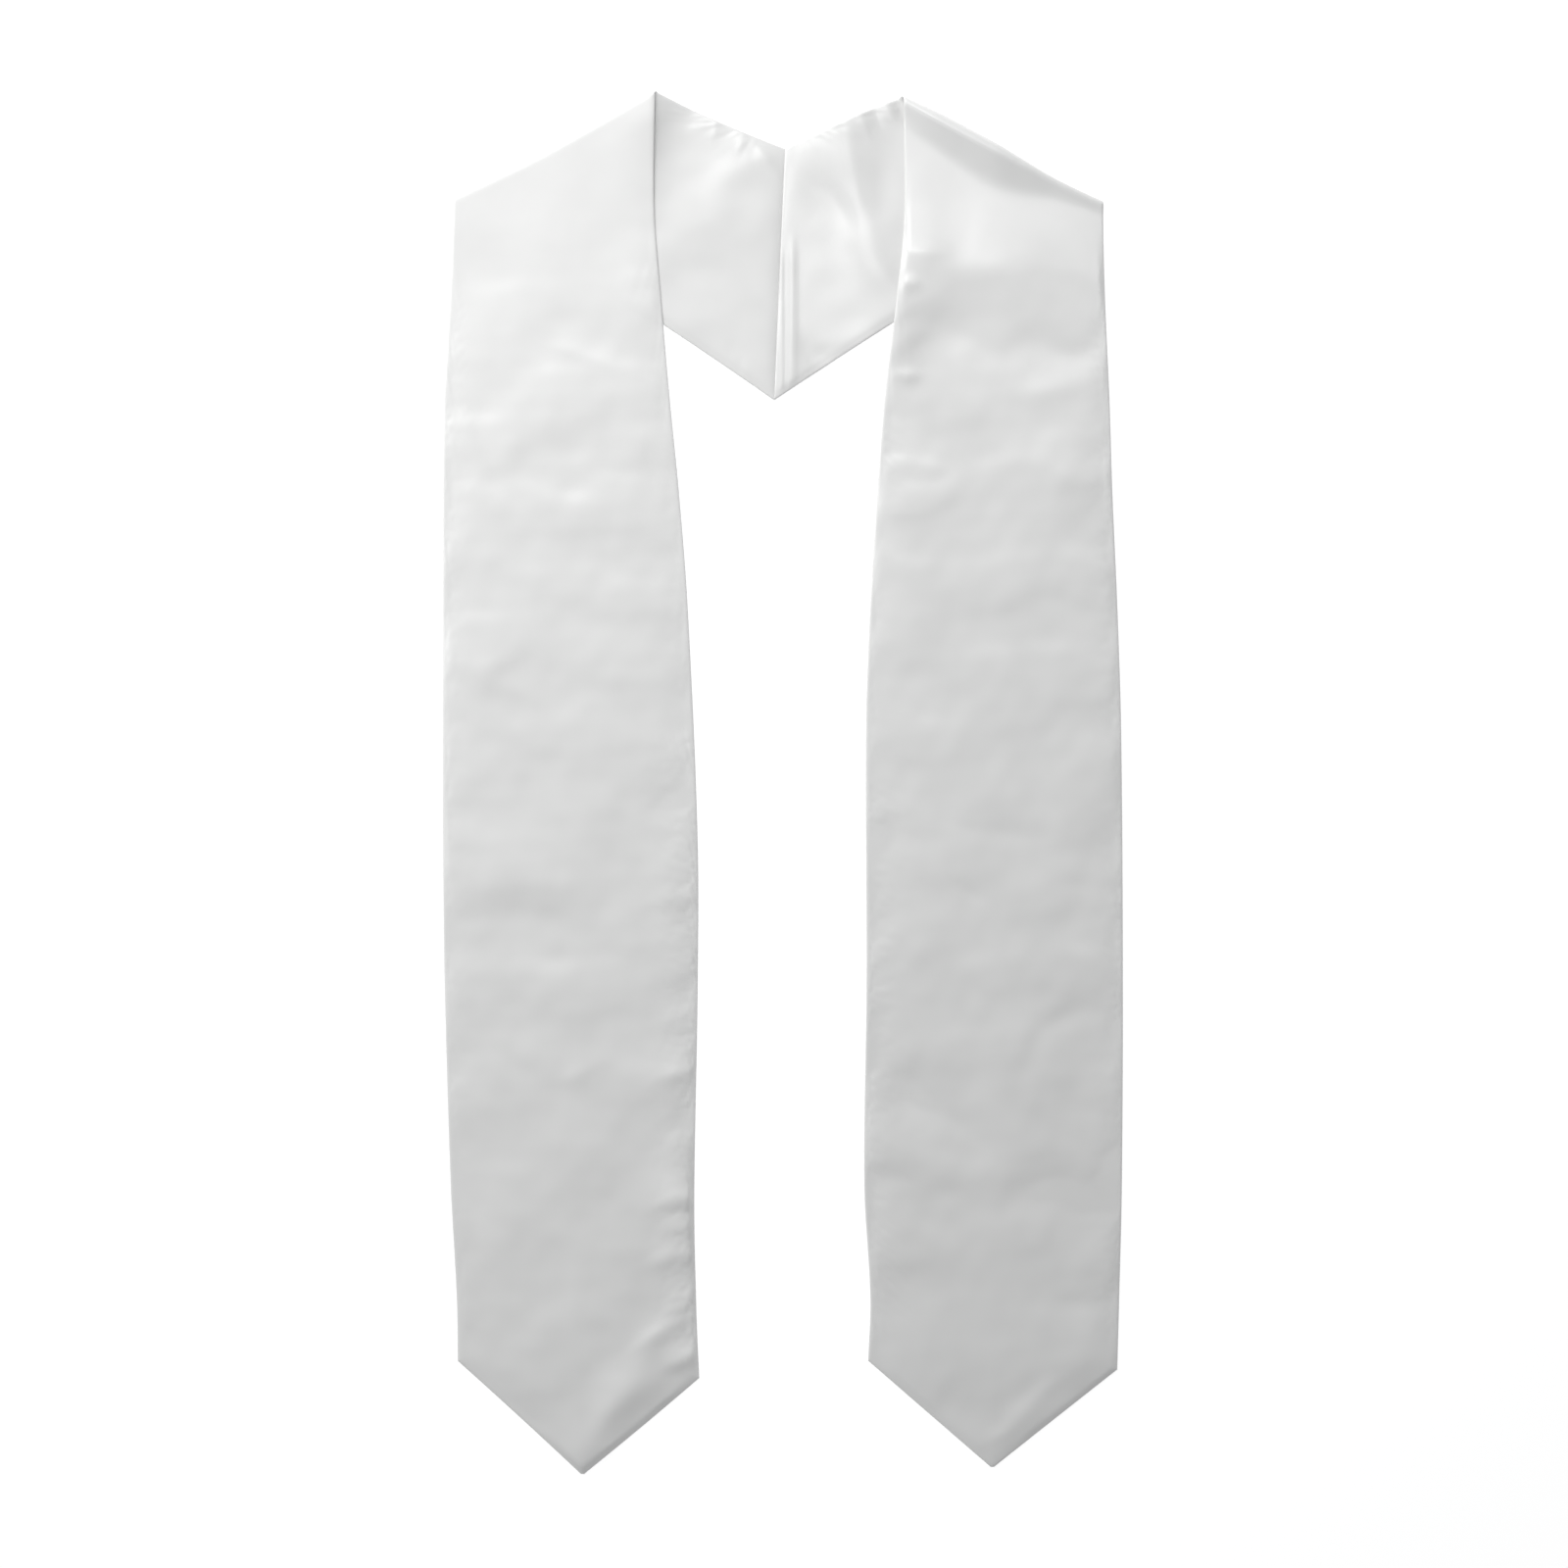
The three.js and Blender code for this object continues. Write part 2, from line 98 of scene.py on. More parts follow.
# Soft folds: a ridge or, with a negative height, a hollow. out is its middle's distance from
# the centre line and down its depth below the top of the seam, reach and breadth are its half
# length and half width, and turn is its angle, from outwards towards down.
Fold = namedtuple("Fold", "out down reach breadth turn height")
LEFT_NECK_FOLDS = [
    Fold(38, 36, 48, 30, 46, 1.3),
    Fold(66, -30, 14, 20, -24, 1.4),
    Fold(52, 80, 26, 14, 20, -0.5),
    Fold(50, -17, 7, 4, 66, -0.5),
    Fold(38, -13, 7, 3.5, 70, 0.4),
    Fold(22, -5, 7, 4, 74, 0.5),
    Fold(25, 118, 5, 3.5, 60, -1),
    Fold(20, 126, 8, 2.5, 75, -0.6),
    Fold(8, 8, 10, 6, -60, 0.8),
]

# Lengths along an edge where the seam draws the satin up into puckers, from one distance to
# another, with their height, how far in they reach and how far apart they are.
Pucker = namedtuple("Pucker", "start end height reach spacing")
LEFT_NECK_PUCKERS = [Pucker(10, 72, 0.14, 6, 11)]


def eased(value, start, end):
    """A smooth rise from 0 at start to 1 at end: three squares less two cubes of the share."""
    share = np.clip((value - start) / (end - start), 0, 1)
    return share * share * (3 - 2 * share)


def between(low, high, share):
    """The value that lies a share of the way from low to high."""
    return low + (high - low) * share


# A sewn edge is rounded off within this length.
TURN_RADIUS = 1.6


def turned_in(edge):
    """The rounding of a sewn edge: a quarter of a circle, from 0 at the edge to 1 inside it."""
    return np.sqrt(1 - (1 - np.clip(edge / TURN_RADIUS, 0, 1)) ** 2)


HALVINGS = 50


def root_of(rising, low, high):
    """Where a rising function is zero, by halving the span between low and high."""
    for _ in range(HALVINGS):
        middle = (low + high) / 2
        if rising(middle) < 0:
            low = middle
        else:
            high = middle
    return (low + high) / 2


def smooth_column(rows, column, place):
    """A column of a table as a smooth curve over its first column: between two rows it is a
    cubic, whose slope at a row is that of the line from the row before to the row after."""
    at = np.array([row[0] for row in rows])
    value = np.array([getattr(row, column) for row in rows])
    before = np.maximum(np.arange(len(at)) - 1, 0)
    after = np.minimum(np.arange(len(at)) + 1, len(at) - 1)
    slope = (value[after] - value[before]) / (at[after] - at[before])
    i = np.clip(np.searchsorted(at, place, side="right") - 1, 0, len(at) - 2)
    span = at[i + 1] - at[i]
    s = (place - at[i]) / span
    leaving = slope[i] * span * s * (1 - s) ** 2
    arriving = slope[i + 1] * span * s * s * (1 - s)
    return between(value[i], value[i + 1], s * s * (3 - 2 * s)) + leaving - arriving


def hinge(value, softness):
    """Nothing below 0 and the value itself above 0, rounded where the two lines meet."""
    return (value + np.sqrt(value**2 + softness**2)) / 2


BELL_REACH = 30


def bell(across):
    """A bell section: one over the hyperbolic cosine, so 1 in the middle."""
    return 1 / np.cosh(np.clip(across, -BELL_REACH, BELL_REACH))


# A half in the plan is its outline and its rows. t is a column's share of the way across, and
# turned a row's share of the way round the roll. start and share place a row behind the neck,
# and along places one on the panel.
Outline = namedtuple(
    "Outline",
    "neck_end shoulder_end outward lean seam_foot neck_edge back_edge"
    " panel_inner panel_outer inner_bottom outer_bottom",
)
Rows = namedtuple("Rows", "back roll panel fold_line t turned start share along")


def bowed(start, end, bow):
    """A curve from start to end over shares of the way, whose middle lies off by bow."""
    middle = (start + end) / 2 + 2 * bow
    return lambda u: (1 - u) ** 2 * start + 2 * u * (1 - u) * middle + u * u * end


CURVE_STEPS = 200


def length_of(curve):
    """A curve's length, as the sum of short straight steps."""
    return np.abs(np.diff(curve(np.linspace(0, 1, CURVE_STEPS + 1)))).sum()


def outline_of(half):
    """A half's edges in the plan, where a place is a complex number: its distance out from the
    centre line, and i times its height above the top of the seam. Behind the neck the two edges
    are bowed lines, and a panel's edges are given by its table, over their height."""
    neck_end = NECK_HALF_WIDTH + 1j * NECK_RISE * half.rise
    shoulder_end = SHOULDER_HALF_WIDTH + 1j * (neck_end.imag - SHOULDER_DROP)
    outward = 1j * (shoulder_end - neck_end) / abs(shoulder_end - neck_end)
    lean = half.toward * SEAM_LEAN / 2
    seam_top = LAYER_GAP / 2 + lean
    seam_foot = LAYER_GAP / 2 - lean - 1j * SEAM_LENGTH
    inner_bottom = neck_end.imag - PANEL_DROP * half.inner_drop
    outer_bottom = neck_end.imag - PANEL_DROP * half.outer_drop

    def panel_inner(y):
        down = (neck_end.imag - y) / (neck_end.imag - inner_bottom)
        return NECK_HALF_WIDTH - WIDENING * smooth_column(half.edges, "inward", down) + 1j * y

    def panel_outer(y):
        down = (neck_end.imag - y) / (neck_end.imag - outer_bottom)
        return SHOULDER_HALF_WIDTH + WIDENING * smooth_column(half.edges, "outward", down) + 1j * y

    return Outline(
        neck_end=neck_end,
        shoulder_end=shoulder_end,
        outward=outward,
        lean=lean,
        seam_foot=seam_foot,
        neck_edge=bowed(seam_top, neck_end, -NECK_SAG * half.sag * outward),
        back_edge=bowed(seam_foot, shoulder_end, BACK_BOW * outward),
        panel_inner=panel_inner,
        panel_outer=panel_outer,
        inner_bottom=inner_bottom,
        outer_bottom=outer_bottom,
    )


def inside_fold(outline, place):
    """How far a place in the plan lies in from the line of the shoulder fold."""
    return ((outline.neck_end - place) * np.conj(outline.outward)).real


# The shoulder fold dips in the middle, and drags the cloth along for DIP_REACH.
FOLD_DIP = 2
DIP_REACH = 45


def dipped(outline, place, t):
    """A place moved down with the dip of the fold: most on the fold and in the band's middle."""
    near = 1 - eased(inside_fold(outline, place), 0, DIP_REACH)
    return place - 4 * FOLD_DIP * t * (1 - t) * near * outline.outward


# A panel's rows start parallel to the fold. From SLANT_SHARE on they are spread evenly down
# each edge, which turns them level by the end, and from CHEVRON_SHARE on they bend into the
# point. Rows and columns lie at RIM near an edge, and are spread evenly in between. RIM is
# turned into shares with MESH_WIDTH and END_SPAN.
SLANT_SHARE = 0.3
CHEVRON_SHARE = 0.7
RIM = np.array([0, 0.25, 0.55, 0.95, 1.5, 2.2, 3.1, 4.2, 5.6])
FIRST_ROW = 6.5
FIRST_COLUMN = 7.3
LAST_ROW = 7.5
BACK_ROWS = 84
ROLL_ROWS = 14
PANEL_ROWS = 352
INNER_COLUMNS = 66
MESH_WIDTH = 135
END_SPAN = 560


def plan_rows(half, outline):
    """The rows of a half in the plan, from the seam to the point. Behind the neck a row is a
    straight line between the neck edge and the outer edge, at one share of the way to the fold.
    The fold is half a turn round a roll. A panel's row lies between its edges, slants as the
    fold does at first, turns level, and bends into a chevron towards the point."""
    roll_inner = half.roll[0].radius + HALF_BAND
    roll_outer = half.roll[-1].radius + HALF_BAND
    neck_edge, back_edge = outline.neck_edge, outline.back_edge
    neck_stop = root_of(lambda u: roll_inner - inside_fold(outline, neck_edge(u)), 0, 1)
    back_stop = root_of(lambda u: roll_outer - inside_fold(outline, back_edge(u)), 0, 1)
    fold_top = -outline.neck_end.imag
    start_inner = -root_of(
        lambda down: inside_fold(outline, outline.panel_inner(-down)) - roll_inner,
        fold_top,
        -outline.inner_bottom,
    )
    start_outer = -root_of(
        lambda down: inside_fold(outline, outline.panel_outer(-down)) - roll_outer,
        fold_top,
        -outline.outer_bottom,
    )

    def back_row(start, share, t):
        inner = neck_edge(between(start / length_of(neck_edge), neck_stop, share))
        outer = back_edge(between(start / length_of(back_edge), back_stop, share))
        return dipped(outline, between(inner, outer, t), t)

    def panel_row(v, t):
        inner = between(start_inner, outline.inner_bottom, v)
        late = between(start_outer, outline.outer_bottom, v)
        outer = between(inner - start_inner + start_outer, late, eased(v, 0, SLANT_SHARE))
        chevron = eased(v, CHEVRON_SHARE, 1)
        shifted = t + 4 * (half.tip - 0.5) * t * (1 - t) * chevron
        place = between(outline.panel_inner(inner), outline.panel_outer(outer), shifted)
        point = POINT_DEPTH * half.point * (1 - np.abs(2 * t - 1)) * chevron
        return dipped(outline, place - 1j * point, t)

    inset = RIM / MESH_WIDTH
    first = FIRST_COLUMN / MESH_WIDTH
    t = np.concatenate([inset, np.linspace(first, 1 - first, INNER_COLUMNS), 1 - inset[::-1]])
    t = t[None]
    start = np.concatenate([RIM, np.full(BACK_ROWS, FIRST_ROW)])[:, None]
    share = np.concatenate([np.zeros(len(RIM)), np.linspace(0, 1, BACK_ROWS)])[:, None]
    turned = np.linspace(0, 1, ROLL_ROWS + 2)[1:-1, None]
    even = np.linspace(0, 1 - LAST_ROW / PANEL_DROP, PANEL_ROWS)
    along = np.concatenate([even, 1 - RIM[::-1] / END_SPAN])[:, None]

    fold_line = panel_row(0, t)
    radius = smooth_column(half.roll, "radius", t)
    roll = between(back_row(np.array([[FIRST_ROW]]), 1, t), fold_line, turned)
    roll = roll + outline.outward * radius * np.sin(np.pi * turned)
    back = back_row(start, share, t)
    return Rows(back, roll, panel_row(along, t), fold_line, t, turned, start, share, along)


# The panel comes down off the roll of the fold with a soft knee, and off the band under it in
# a step that starts a little past the band's edge.
FALL_KNEE = 0.18
STEP_CLEARANCE = 1
STEP_EASE = 34


def plain_height(half, outline, rows):
    """The height of the middle surface without relief: flat behind the neck, up round the roll,
    then down off the roll and past the edge of the band that the panel lies on."""
    radius = smooth_column(half.roll, "radius", rows.t)
    roll_height = HALF_BAND + radius * (1 - np.cos(np.pi * rows.turned))
    from_roll = inside_fold(outline, rows.panel) - inside_fold(outline, rows.fold_line)
    reach = outline.shoulder_end - outline.seam_foot
    past = (rows.panel.real - outline.seam_foot.real) / reach.real
    bow = 4 * BACK_BOW * np.clip(past, 0, 1) * (1 - np.clip(past, 0, 1))
    band_edge = outline.seam_foot.imag + past * reach.imag + bow
    below = (band_edge - rows.panel.imag) * reach.real / abs(reach)
    fallen = from_roll / smooth_column(half.roll, "fall", rows.t)
    off_roll = (2 * radius - STACK) * hinge(1 - fallen, FALL_KNEE) / hinge(1, FALL_KNEE)
    stacked = STACK * (1 - eased(below, STEP_CLEARANCE, STEP_EASE))
    panel_height = HALF_BAND + off_roll + stacked
    return np.concatenate([np.full(rows.back.shape, HALF_BAND), roll_height, panel_height])


# Behind the neck the lining is puffed up, more steeply from its outer edge than from the neck
# edge, and not beside the fold. The seam holds it down, and its folds are drawn out and die
# out under the panel. The panel's corner at the neck stands up in a soft ridge.
NECK_PUFF = 0.6
NECK_PUFF_REACH = 9
BACK_EDGE_STEEPNESS = 2.5
PUFF_FROM_FOLD = (3, 16)
SEAM_HOLD = 5
FOLD_SOFTNESS = 0.4
UNEVENNESS = 0.08
NECK_WAVES = (16, 44, 1.2)
UNDER_PANEL = 40
DRAWN_OUT = 0.75
CORNER_CREST = 3
CORNER_BREADTH = 7
CORNER_FADE = 90
CORNER_REACH = 50


def neck_relief(half, outline, plan, folds, seed):
    """The relief behind the neck and of the panel's edge beside it, as three heights: the puff
    of the lining, the folds that lift both layers, and the panel's raised corner. The folds go
    on a little way under the panel and lift its edge. The corner's ridge has a bell section
    towards the neck, and dies out slowly across the panel."""
    out, down = plan.real, -plan.imag
    reach = outline.shoulder_end - outline.seam_foot
    under_neck_edge = down + outline.neck_end.imag / NECK_HALF_WIDTH * out
    over_back_edge = -((outline.seam_foot - plan) * np.conj(1j * reach)).real / abs(reach)
    inset = np.clip(np.minimum(under_neck_edge, BACK_EDGE_STEEPNESS * over_back_edge), 0, None)
    covered = out - outline.panel_inner(plan.imag).real
    beside = (1 - eased(covered, 0, UNDER_PANEL)) * (1 - eased(-over_back_edge, 0, UNDER_PANEL))
    puff = NECK_PUFF * (1 - np.exp(-inset / NECK_PUFF_REACH)) * beside
    puff = puff * eased(inside_fold(outline, plan), *PUFF_FROM_FOLD)

    near_edge = out - DRAWN_OUT * np.clip(covered, 0, None)
    lift = fold_height(near_edge, down, folds, seed)
    lift = lift + UNEVENNESS * slow_waves(near_edge, down, seed + 2, *NECK_WAVES)
    beyond_seam = np.clip(out - outline.lean * (1 - 2 * down / SEAM_LENGTH), 0, None)
    lift = hinge(lift, FOLD_SOFTNESS) * beside * (1 - np.exp(-beyond_seam / SEAM_HOLD))

    across_corner = np.minimum((covered - CORNER_CREST) / CORNER_BREADTH, 0)
    corner = bell(across_corner) * (1 - eased(covered, CORNER_CREST, CORNER_FADE))
    from_corner = (down + outline.neck_end.imag) / CORNER_REACH
    return puff, lift, half.corner_rise * corner * np.exp(-(from_corner**2))


# A face comes clear of its lining over one span below the roll, and grows loose over another.
CLEAR_SPAN = (4, 60)
LOOSE_SPAN = (0, 150)

# The roll counts as ROLL_WIDTH wide, END_SLANT turns a length along the band into the distance
# from the point's edge, and FAR stands where an edge is out of reach. Lengths are measured down
# RUN_COLUMN. At an edge the middle surface is EDGE_HEIGHT from what it rests on.
ROLL_WIDTH = 118.0
END_SLANT = 0.76
FAR = 1000.0
RUN_COLUMN = 30
EDGE_HEIGHT = 0.1


def lay_out(half, folds, seed):
    """The surface midway between a half's two layers, as rows from the seam to the point, with
    its normals and, for each vertex, its distances from the edges."""
    outline = outline_of(half)
    rows = plan_rows(half, outline)
    back, roll, panel = rows.back, rows.roll, rows.panel
    plan = np.concatenate([back, roll, panel])
    on_back = np.arange(len(plan))[:, None] < len(back)
    puff, lift, corner = neck_relief(half, outline, plan, folds, seed)
    height = plain_height(half, outline, rows)
    height = height + lift + np.where(on_back, 0, puff) + corner

    def widths(part):
        return np.abs(part[:, -1:] - part[:, :1]) * np.ones_like(part.real)

    width = np.concatenate([widths(back), np.full(roll.shape, ROLL_WIDTH), widths(panel)])
    inner = rows.t * width
    outer = (1 - rows.t) * width
    seam = np.full(plan.shape, FAR)
    seam[: len(back)] = between(
        rows.start, between(NECK_HALF_WIDTH, SHOULDER_HALF_WIDTH, rows.t), rows.share
    )
    end = np.full(plan.shape, FAR)
    end[-len(panel) :] = (1 - rows.along) * PANEL_DROP * END_SLANT
    from_roll = inside_fold(outline, panel) - inside_fold(outline, rows.fold_line)
    clear = np.zeros(plan.shape)
    clear[-len(panel) :] = eased(from_roll, *CLEAR_SPAN)
    loose = np.zeros(plan.shape)
    loose[-len(panel) :] = eased(from_roll, *LOOSE_SPAN)

    # Towards an edge the surface sinks to the side that it rests on, and the edges lie flat.
    middle = np.stack([half.toward * plan.real, plan.imag, height], -1) + SEAM_TOP
    down_rows = np.gradient(middle, axis=0)
    over_columns = np.gradient(middle, axis=1)
    normal = np.cross(down_rows, over_columns) * half.toward
    normal /= np.linalg.norm(normal, axis=-1, keepdims=True)
    resting = [np.ones(back.shape), np.cos(np.pi * rows.turned) * np.ones(roll.shape)]
    settling = np.concatenate([*resting, -np.ones(panel.shape)])
    edge = np.minimum(np.minimum(inner, outer), end)
    sinking = (HALF_BAND - EDGE_HEIGHT) * (1 - turned_in(edge)) * settling
    run = np.abs(np.diff(plan[:, RUN_COLUMN]))
    along = np.concatenate([[0], np.cumsum(run)])[:, None] * np.ones_like(inner)
    return {
        "middle": middle + normal * sinking[..., None],
        "normal": normal,
        "out": plan.real,
        "down": -plan.imag,
        "inner": inner,
        "outer": outer,
        "seam": seam,
        "end": end,
        "puff": np.where(on_back, puff, 0),
        "clear": clear,
        "loose": loose,
        "along": along,
    }


WAVE_COUNT = 28


def slow_waves(out, down, seed, shortest, longest, stretch):
    """A smooth uneven surface, about 1 high: the sum of sine waves with random directions and
    lengths from shortest to longest, all drawn out sideways by stretch."""
    random = np.random.default_rng(seed)
    total = np.zeros(out.shape)
    for _ in range(WAVE_COUNT):
        turn = random.uniform(0, np.pi)
        wave = random.uniform(shortest, longest)
        phase = random.uniform(0, 2 * np.pi)
        across = out * np.cos(turn) / stretch + down * np.sin(turn)
        total += np.sin(2 * np.pi * across / wave + phase)
    return total / np.sqrt(WAVE_COUNT / 2)


# The waves that bend every fold, how far a fold narrows towards its ends and how steep it is.
FOLD_WAVES = (35, 90, 1)
FOLD_BEND = 2.5
FOLD_NARROWING = 0.35
FOLD_NARROW_END = 1.5
FOLD_STEEPNESS = 1.5


def fold_height(out, down, folds, seed):
    """The soft folds: each is a ridge with a bell section, drawn out along its own line, and
    slow waves bend the lines so that no two folds run alike."""
    bent = FOLD_BEND * slow_waves(out, down, seed, *FOLD_WAVES)
    down = down + FOLD_BEND * slow_waves(out, down, seed + 1, *FOLD_WAVES)
    out = out + bent
    total = np.zeros(out.shape)
    for fold in folds:
        angle = np.radians(fold.turn)
        outwards = out - fold.out
        downwards = down - fold.down
        lengthwise = outwards * np.cos(angle) + downwards * np.sin(angle)
        crosswise = downwards * np.cos(angle) - outwards * np.sin(angle)
        off_middle = np.clip(np.abs(lengthwise) / fold.reach, 0, FOLD_NARROW_END)
        narrowed = fold.breadth * (1 - FOLD_NARROWING * off_middle)
        section = bell(FOLD_STEEPNESS * crosswise / narrowed)
        total += fold.height * section * np.exp(-((lengthwise / fold.reach) ** 2))
    return total


# Every pucker fades in and out at its ends and starts a little inside the edge. On the way in
# it leans and spreads, and the widest are PUCKER_RANGE times as far apart as the closest.
PUCKER_FADE = 12
PUCKER_INSET = 3
PUCKER_LEAN = 0.35
PUCKER_SPREAD = 0.4
PUCKER_RANGE = 2.2
PUCKER_STRETCH = 0.25


def pucker_height(from_edge, along_edge, puckers, seed):
    """The gathers along a sewn edge: waves that run along the edge, widen as they leave it and
    die out with the distance from it."""
    total = np.zeros(from_edge.shape)
    for number, pucker in enumerate(puckers):
        ends = eased(along_edge, pucker.start, pucker.start + PUCKER_FADE)
        ends = ends * (1 - eased(along_edge, pucker.end - PUCKER_FADE, pucker.end))
        leaning = along_edge + PUCKER_LEAN * from_edge
        spread = 1 + PUCKER_SPREAD * from_edge / pucker.reach
        widest = PUCKER_RANGE * pucker.spacing
        waves = slow_waves(
            leaning / spread, from_edge, seed + number, pucker.spacing, widest, PUCKER_STRETCH
        )
        dying = np.exp(-from_edge / pucker.reach) * eased(from_edge, 0, PUCKER_INSET)
        total += pucker.height * ends * waves * dying
    return total


# At the seam the cloth lies as it does this far in from an edge.
SEAM_INSET = 0.8


def nearest_edge(layout):
    """The distance from the nearest edge, where the seam counts as SEAM_INSET further off."""
    seam = layout["seam"] + SEAM_INSET
    return np.minimum.reduce([layout["inner"], layout["outer"], seam, layout["end"]])


# The shares of the gap and of the cloth's thickness that are left at an edge.
EDGE_GAP = 0.3
EDGE_CLOTH = 0.15
PER_METRE = 1000


def satin_layer(name, layout, side, off, edge):
    """One layer of satin as a closed mesh. side is 1 for the face and -1 for the lining, and
    off is how far its inner skin stands off the middle surface. Its thickness falls to almost
    nothing close to an edge, where the cloth turns under and meets the other layer."""
    turned = turned_in(edge)
    inner_off = off * between(EDGE_GAP, 1, turned)
    outer_off = inner_off + CLOTH * between(EDGE_CLOTH, 1, turned)
    middle, normal = layout["middle"], layout["normal"]
    skins = [middle + (side * skin)[..., None] * normal for skin in (inner_off, outer_off)]
    rows, columns = edge.shape
    places = np.concatenate([skin.reshape(-1, 3) for skin in skins]) / PER_METRE

    index = np.arange(2 * rows * columns).reshape(2, rows, columns)
    inside, outside = index

    def quads(a, b, c, d):
        return np.stack([a, b, c, d], -1).reshape(-1, 4)

    loops = np.concatenate(
        [
            quads(outside[:-1, :-1], outside[1:, :-1], outside[1:, 1:], outside[:-1, 1:]),
            quads(inside[:-1, :-1], inside[:-1, 1:], inside[1:, 1:], inside[1:, :-1]),
            quads(inside[:-1, 0], inside[1:, 0], outside[1:, 0], outside[:-1, 0]),
            quads(inside[:-1, -1], outside[:-1, -1], outside[1:, -1], inside[1:, -1]),
            quads(inside[0, :-1], outside[0, :-1], outside[0, 1:], inside[0, 1:]),
            quads(inside[-1, :-1], inside[-1, 1:], outside[-1, 1:], outside[-1, :-1]),
        ]
    )
    toward = np.sign(layout["middle"][-1, -1, 0])
    if side * toward < 0:
        loops = loops[:, ::-1]

    mesh = bpy.data.meshes.new(name)
    mesh.from_pydata(places, [], loops)
    texture = mesh.uv_layers.new(name="weave")
    flat = np.stack([layout["inner"], layout["along"]], -1).reshape(-1, 2) / PER_METRE
    corners = np.zeros(len(mesh.loops), np.int32)
    mesh.loops.foreach_get("vertex_index", corners)
    texture.data.foreach_set("uv", np.tile(flat, (2, 1))[corners].ravel())
    mesh.polygons.foreach_set("use_smooth", np.ones(len(mesh.polygons), bool))
    mesh.update()
    piece = bpy.data.objects.new(name, mesh)
    bpy.context.scene.collection.objects.link(piece)
    return piece


def paint(hex_colour):
    """A hex sRGB colour as the linear one that shaders take."""
    parts = [int(hex_colour[i : i + 2], 16) / 255 for i in (0, 2, 4)]
    linear = [p / 12.92 if p <= 0.04045 else ((p + 0.055) / 1.055) ** 2.4 for p in parts]
    return (*linear, 1)


def add_node(tree, kind, links=(), **settings):
    """Adds a node: settings are its properties or, where it has none of that name, its inputs'
    values, and links are pairs of an input's name and the output that feeds it."""
    node = tree.nodes.new(kind)
    for name, value in settings.items():
        if hasattr(node, name):
            setattr(node, name, value)
        else:
            node.inputs[name.replace("_", " ")].default_value = value
    for name, output in links:
        tree.links.new(output, node.inputs[name])
    return node


# How many threads and slubs lie in a metre across the band and along it.
THREADS = (2000, 120, 1)
SLUBS = (90, 1100, 1)
ROUGHNESS_SWING = 0.03


def satin(name, colour, shade, roughness):
    """Heavy white satin. Its floats run along the band, which draws out the gloss. The bump has
    the threads, drawn at 0.5 mm because the real 0.15 mm is too fine for the picture, and slubs
    about 10 mm long across the band. Its colour and roughness change a little every 36 mm."""
    material = bpy.data.materials.new(name)
    material.use_nodes = True
    tree = material.node_tree
    tree.nodes.clear()
    weave = add_node(tree, "ShaderNodeUVMap", uv_map="weave").outputs["UV"]
    threads = add_node(tree, "ShaderNodeMapping", [("Vector", weave)], Scale=THREADS)
    thread = add_node(
        tree, "ShaderNodeTexNoise", [("Vector", threads.outputs[0])], Scale=1, Detail=1
    )
    wefts = add_node(tree, "ShaderNodeMapping", [("Vector", weave)], Scale=SLUBS)
    weft = add_node(tree, "ShaderNodeTexNoise", [("Vector", wefts.outputs[0])], Scale=1, Detail=1)
    both = add_node(tree, "ShaderNodeMath", operation="ADD")
    tree.links.new(thread.outputs["Fac"], both.inputs[0])
    tree.links.new(weft.outputs["Fac"], both.inputs[1])
    bump = add_node(
        tree, "ShaderNodeBump", [("Height", both.outputs[0])], Strength=0.12, Distance=0.0001
    )
    place = add_node(tree, "ShaderNodeTexCoord").outputs["Object"]
    cloud = add_node(tree, "ShaderNodeTexNoise", [("Vector", place)], Scale=28, Detail=2)
    tone = add_node(tree, "ShaderNodeValToRGB", [("Fac", cloud.outputs["Fac"])])
    tone.color_ramp.elements[0].position = 0.3
    tone.color_ramp.elements[0].color = paint(shade)
    tone.color_ramp.elements[1].position = 0.7
    tone.color_ramp.elements[1].color = paint(colour)
    gloss = add_node(
        tree,
        "ShaderNodeMapRange",
        [("Value", cloud.outputs["Fac"])],
        To_Min=roughness + ROUGHNESS_SWING,
        To_Max=roughness - ROUGHNESS_SWING,
    )
    grain = add_node(tree, "ShaderNodeTangent", direction_type="UV_MAP", uv_map="weave")
    links = [
        ("Base Color", tone.outputs["Color"]),
        ("Roughness", gloss.outputs["Result"]),
        ("Normal", bump.outputs["Normal"]),
        ("Tangent", grain.outputs["Tangent"]),
    ]
    cloth = add_node(
        tree,
        "ShaderNodeBsdfPrincipled",
        links,
        Anisotropic=0.7,
        Specular_IOR_Level=0.9,
        Sheen_Weight=0.12,
        Sheen_Roughness=0.4,
    )
    add_node(tree, "ShaderNodeOutputMaterial", [("Surface", cloth.outputs["BSDF"])])
    return material


def held_by(edge, width):
    """How freely the satin moves at a distance from a sewn edge: 0 there, 1 past width."""
    return eased(edge, 0, width)


# How far from the seam and from an edge the satin is held down.
SEAM_PUCKER_HOLD = 12
EDGE_HOLD = 6


def lining_relief(layout, seam_rise, puckers, seed):
    """How far a lining stands up behind the neck: a puff that is held down at its edges and
    comes up out of the seam within about seam_rise, and puckers along the neck edge."""
    edge = np.minimum(layout["inner"], layout["outer"])
    from_seam = 1 - np.exp(-layout["seam"] / seam_rise)
    drawn = pucker_height(layout["inner"], layout["out"], puckers, seed)
    drawn = drawn * (layout["puff"] > 0) * held_by(layout["seam"], SEAM_PUCKER_HOLD)
    return np.maximum(layout["puff"] * held_by(edge, EDGE_HOLD) * from_seam + drawn, 0)


